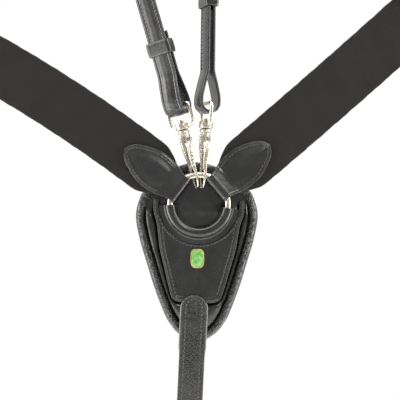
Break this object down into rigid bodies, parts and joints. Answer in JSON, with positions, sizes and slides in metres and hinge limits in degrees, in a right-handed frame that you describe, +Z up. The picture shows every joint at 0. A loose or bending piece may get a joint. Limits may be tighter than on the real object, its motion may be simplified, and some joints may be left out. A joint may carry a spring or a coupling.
{
  "type": "breastplate martingale centre",
  "caption": "Padded leather chest shield with a ring, elastic side bands on leaf tabs, clip-on branch straps on swivel snaps and a lower strap with a buckle.",
  "frame": {"origin": "middle of the centre ring", "axes": "+Z up, -Y the front that faces away from the horse, +X to the viewer's right"},
  "size_m": [0.5321, 0.0391, 0.4934],
  "materials": {
    "elastic": "woven matte",
    "felt": "matte",
    "foam": "matte",
    "gilt": "polished",
    "grained_leather": "pebbled satin",
    "green_stone": "glossy translucent look",
    "nickel": "warm polished nickel",
    "smooth_leather": "smooth semi-gloss",
    "spring_steel": "bright"
  },
  "bodies": {
    "shield": {"centre_ring": "nickel", "ring_cover": "smooth_leather", "front_plate": "smooth_leather", "plate_underlay": "felt", "pad_facing": "smooth_leather", "pad_filling": "foam", "pad_backing": "grained_leather", "pad_border": "grained_leather", "pad_roll": "smooth_leather", "badge_bezel": "gilt", "badge_stone": "green_stone", "lower_strap": "grained_leather", "lower_strap_lining": "smooth_leather", "lower_keeper": "grained_leather"},
    "girth_buckle": {"girth_buckle_frame": "nickel"},
    "buckle_roller": {"girth_buckle_roller": "nickel"},
    "buckle_tongue": {"girth_buckle_tongue": "nickel"},
    "left_arm": {"left_leaf_tab": "smooth_leather", "left_elastic": "elastic", "left_end_chape": "smooth_leather"},
    "left_dee": {"left_dee_ring": "nickel"},
    "left_snap": {"left_snap_collar": "nickel", "left_snap_back_jaw": "nickel", "left_snap_pin": "nickel", "left_snap_spring": "spring_steel"},
    "left_jaw": {"left_snap_front_jaw": "nickel"},
    "left_eye": {"left_snap_eye": "nickel"},
    "left_branch": {"left_branch_strap": "grained_leather"},
    "left_keeper": {"left_keeper": "grained_leather"},
    "left_rein_ring": {"left_rein_ring": "nickel"},
    "right_arm": {"right_leaf_tab": "smooth_leather", "right_elastic": "elastic", "right_end_chape": "smooth_leather"},
    "right_dee": {"right_dee_ring": "nickel"},
    "right_snap": {"right_snap_collar": "nickel", "right_snap_back_jaw": "nickel", "right_snap_pin": "nickel", "right_snap_spring": "spring_steel"},
    "right_jaw": {"right_snap_front_jaw": "nickel"},
    "right_eye": {"right_snap_eye": "nickel"},
    "right_branch": {"right_branch_strap": "grained_leather"},
    "right_keeper": {"right_keeper": "grained_leather"},
    "right_rein_ring": {"right_rein_ring": "nickel"}
  },
  "joints": [
    {"name": "girth_buckle_swing", "type": "hinge", "parent": "shield", "child": "girth_buckle", "pos_m": [-0.0097, 0.0012, -0.20577], "axis": [-0.9989, 0, 0.0471], "range_deg": [-60, 35]},
    {"name": "buckle_tongue_swing", "type": "hinge", "parent": "girth_buckle", "child": "buckle_tongue", "pos_m": [-0.0097, 0.0012, -0.20577], "axis": [-0.9989, 0, 0.0471], "range_deg": [0, 65]},
    {"name": "buckle_roller_turn", "type": "hinge", "parent": "girth_buckle", "child": "buckle_roller", "pos_m": [-0.01112, 0.0012, -0.23574], "axis": [0.9989, 0, -0.0471], "continuous": true},
    {"name": "left_arm_swing", "type": "hinge", "parent": "shield", "child": "left_arm", "pos_m": [-0.01981, 0, 0.01493], "axis": [0.6018, 0, 0.7986], "range_deg": [0, 70]},
    {"name": "left_dee_swing", "type": "hinge", "parent": "left_arm", "child": "left_dee", "pos_m": [-0.2525, 0, 0.16341], "axis": [0.4519, 0, 0.8921], "range_deg": [-75, 75]},
    {"name": "left_snap_swing", "type": "hinge", "parent": "shield", "child": "left_snap", "pos_m": [-0.0046, 0, 0.0261], "axis": [1, 0, 0], "range_deg": [0, 20]},
    {"name": "left_jaw_open", "type": "hinge", "parent": "left_snap", "child": "left_jaw", "pos_m": [-0.01254, 0, 0.05916], "axis": [-0.9511, -0.2079, -0.2283], "range_deg": [0, 16], "stiffness_Nm_per_rad": 0.05, "springref_deg": -17.19},
    {"name": "left_eye_turn", "type": "hinge", "parent": "left_snap", "child": "left_eye", "pos_m": [-0.01543, 0, 0.07122], "axis": [-0.2334, 0, 0.9724], "range_deg": [-90, 45]},
    {"name": "left_strap_swing", "type": "hinge", "parent": "left_eye", "child": "left_branch", "pos_m": [-0.02019, 0, 0.09105], "axis": [0.8421, -0.5, 0.2022], "range_deg": [-20, 60]},
    {"name": "left_keeper_slide", "type": "slide", "parent": "left_branch", "child": "left_keeper", "axis": [-0.2749, -0.0755, 0.9585], "range_m": [-0.012, 0.008]},
    {"name": "left_rein_ring_swing", "type": "hinge", "parent": "left_branch", "child": "left_rein_ring", "pos_m": [-0.0528, -0.00748, 0.20839], "axis": [0.8421, -0.5, 0.2022], "range_deg": [-75, 75]},
    {"name": "right_arm_swing", "type": "hinge", "parent": "shield", "child": "right_arm", "pos_m": [0.01891, 0, 0.01604], "axis": [0.6468, 0, -0.7627], "range_deg": [0, 70]},
    {"name": "right_dee_swing", "type": "hinge", "parent": "right_arm", "child": "right_dee", "pos_m": [0.22595, 0, 0.1974], "axis": [0.6744, 0, -0.7384], "range_deg": [-75, 75]},
    {"name": "right_snap_swing", "type": "hinge", "parent": "shield", "child": "right_snap", "pos_m": [0.0035, 0, 0.02627], "axis": [1, 0, 0], "range_deg": [0, 20]},
    {"name": "right_jaw_open", "type": "hinge", "parent": "right_snap", "child": "right_jaw", "pos_m": [0.00558, 0, 0.0602], "axis": [-0.9884, -0.1392, 0.0605], "range_deg": [0, 16], "stiffness_Nm_per_rad": 0.05, "springref_deg": -17.19},
    {"name": "right_eye_turn", "type": "hinge", "parent": "right_snap", "child": "right_eye", "pos_m": [0.00633, 0, 0.07258], "axis": [0.061, 0, 0.9981], "range_deg": [-60, 75]},
    {"name": "right_strap_swing", "type": "hinge", "parent": "right_eye", "child": "right_branch", "pos_m": [0.00758, 0, 0.09294], "axis": [-0.3414, 0.9397, 0.0209], "range_deg": [-10, 60]},
    {"name": "right_keeper_slide", "type": "slide", "parent": "right_branch", "child": "right_keeper", "axis": [0.0119, -0.0179, 0.9998], "range_m": [-0.05, 0.004]},
    {"name": "right_rein_ring_swing", "type": "hinge", "parent": "right_branch", "child": "right_rein_ring", "pos_m": [0.01091, -0.0015, 0.21491], "axis": [0.3414, -0.9397, -0.0209], "range_deg": [-75, 75]}
  ]
}
